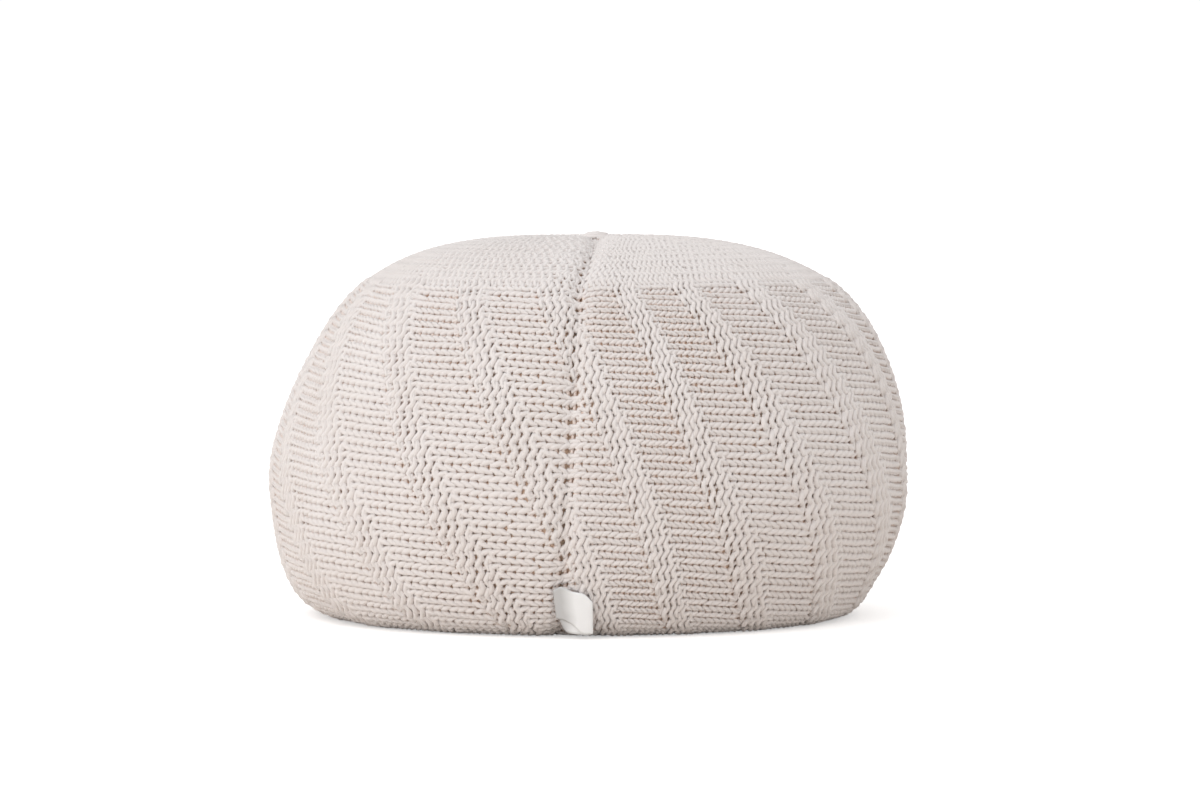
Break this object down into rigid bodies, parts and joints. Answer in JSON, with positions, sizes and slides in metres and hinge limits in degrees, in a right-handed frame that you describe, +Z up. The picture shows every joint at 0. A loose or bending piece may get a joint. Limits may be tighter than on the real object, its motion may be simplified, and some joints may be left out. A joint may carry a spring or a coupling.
{
  "type": "knitted pouf",
  "caption": "Low round pouf with a chunky knitted cover, slanting ribs round its side, a front seam and a small bare folded label.",
  "frame": {"origin": "on the floor, under the middle of the pouf's box", "axes": "+Z up, -Y towards the front seam and label, +X to the right as seen from the front"},
  "size_m": [0.5516, 0.551, 0.3312],
  "materials": {
    "knitted_yarn": "matt cream cotton yarn, chunky knit",
    "satin": "soft white satin ribbon"
  },
  "bodies": {
    "root": {"pouf_body": "knitted_yarn", "label": "satin"}
  },
  "joints": []
}
